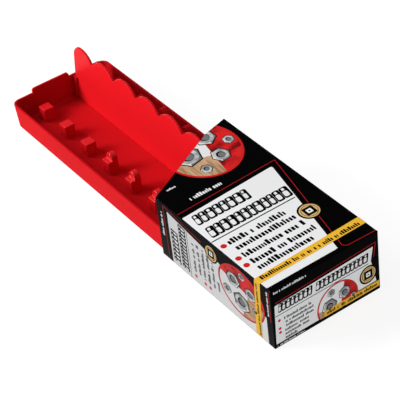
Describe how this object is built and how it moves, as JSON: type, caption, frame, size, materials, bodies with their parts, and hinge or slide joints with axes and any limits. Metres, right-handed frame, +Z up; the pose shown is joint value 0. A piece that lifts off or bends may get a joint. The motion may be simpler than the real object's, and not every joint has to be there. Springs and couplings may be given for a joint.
{
  "type": "socket organizer tray in carton",
  "caption": "Long shallow moulded tray with square socket posts and a scalloped upright label rack, sliding in a folded carton with a slanted open end.",
  "frame": {"origin": "middle of the whole length and width, on the surface the object lies on", "axes": "+X along the tray towards the carton's closed end, +Y from the wide bay to the narrow bay, +Z up"},
  "size_m": [0.2418, 0.0644, 0.0366],
  "materials": {
    "red_plastic": "satin moulded",
    "printed_board": "varnished print",
    "plain_board": "uncoated",
    "liner_paper": "smooth",
    "label_paper": "gloss"
  },
  "bodies": {
    "carton": {"carton_top_panel": "printed_board", "carton_bottom_panel": "printed_board", "carton_near_side_panel": "printed_board", "carton_far_side_panel": "printed_board", "carton_glue_flap": "plain_board", "carton_outer_end_flap": "printed_board", "carton_inner_end_flap": "plain_board", "carton_near_dust_flap": "plain_board", "carton_far_dust_flap": "plain_board"},
    "tray": {"drawer_tray": "red_plastic", "label_rack": "red_plastic", "near_socket_posts": "red_plastic", "far_socket_posts": "red_plastic"},
    "inch_sheet": {"inch_label_liner": "liner_paper", "inch_size_labels": "label_paper"},
    "metric_sheet": {"metric_label_liner": "liner_paper", "metric_size_labels": "label_paper"}
  },
  "joints": [
    {"name": "tray_slide", "type": "slide", "parent": "carton", "child": "tray", "axis": [1, 0, 0], "range_m": [-0.115, 0]},
    {"name": "inch_sheet_slide", "type": "slide", "parent": "tray", "child": "inch_sheet", "axis": [1, 0, 0], "range_m": [-0.13, 0]},
    {"name": "metric_sheet_slide", "type": "slide", "parent": "tray", "child": "metric_sheet", "axis": [1, 0, 0], "range_m": [-0.13, 0]}
  ]
}
